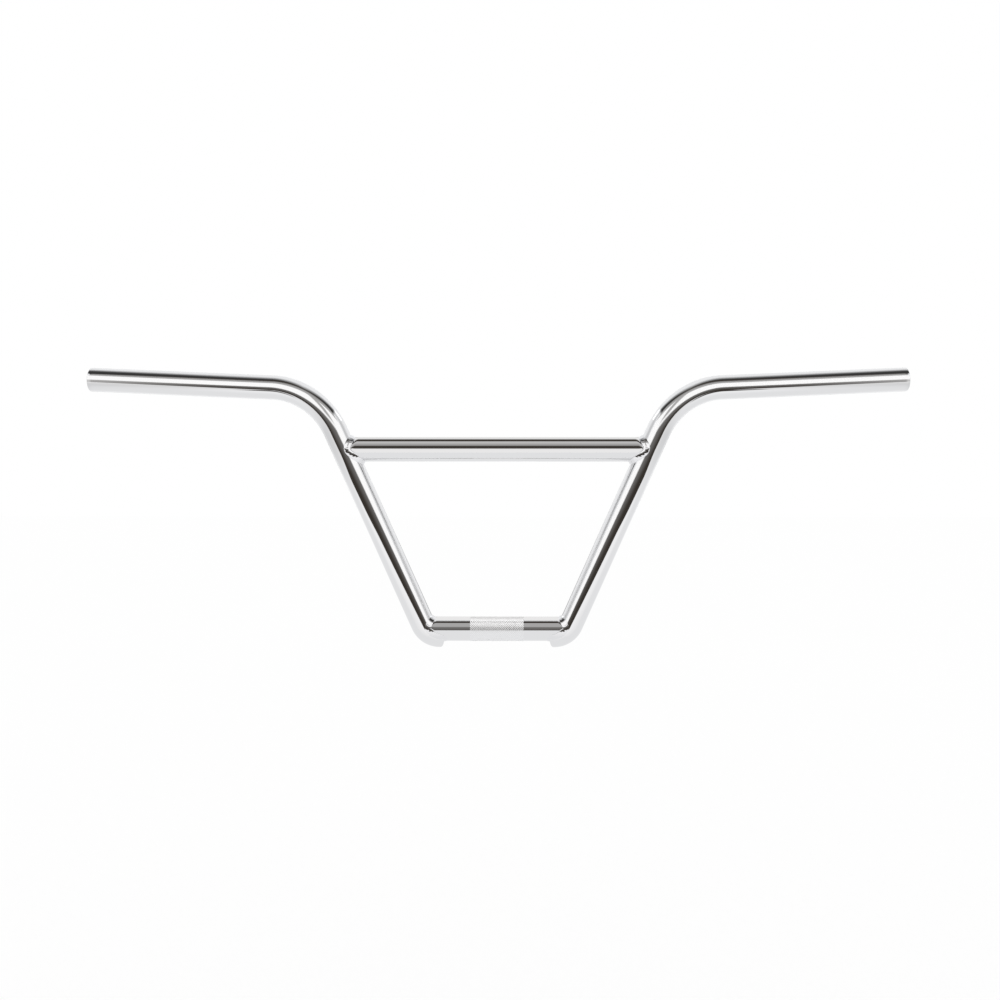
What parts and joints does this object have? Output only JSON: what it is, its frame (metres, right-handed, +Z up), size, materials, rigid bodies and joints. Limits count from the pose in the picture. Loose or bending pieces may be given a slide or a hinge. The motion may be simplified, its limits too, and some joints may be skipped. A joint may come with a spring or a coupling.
{
  "type": "bmx handlebar",
  "caption": "Chromed steel BMX handlebar with swept, raised grip tubes, welded crossbar and a knurled clamp tube for the stem.",
  "frame": {"origin": "centre of the clamp tube, on its axis, midway along the knurled band", "axes": "+X along the clamp tube towards the viewer's right as seen from the front, +Z up the rise, and the front faces -Y, so the grips sweep back towards +Y"},
  "size_m": [0.7666, 0.0696, 0.2567],
  "materials": {
    "chrome_tube": "polished chrome plate",
    "chrome_clamp": "polished chrome plate with a satin knurled band",
    "chrome_weld": "rippled weld bead under chrome plate"
  },
  "bodies": {
    "root": {"left_side_tube": "chrome_tube", "right_side_tube": "chrome_tube", "crossbar": "chrome_tube", "clamp_tube": "chrome_clamp", "left_crossbar_weld": "chrome_weld", "right_crossbar_weld": "chrome_weld", "left_clamp_weld": "chrome_weld", "right_clamp_weld": "chrome_weld"}
  },
  "joints": []
}
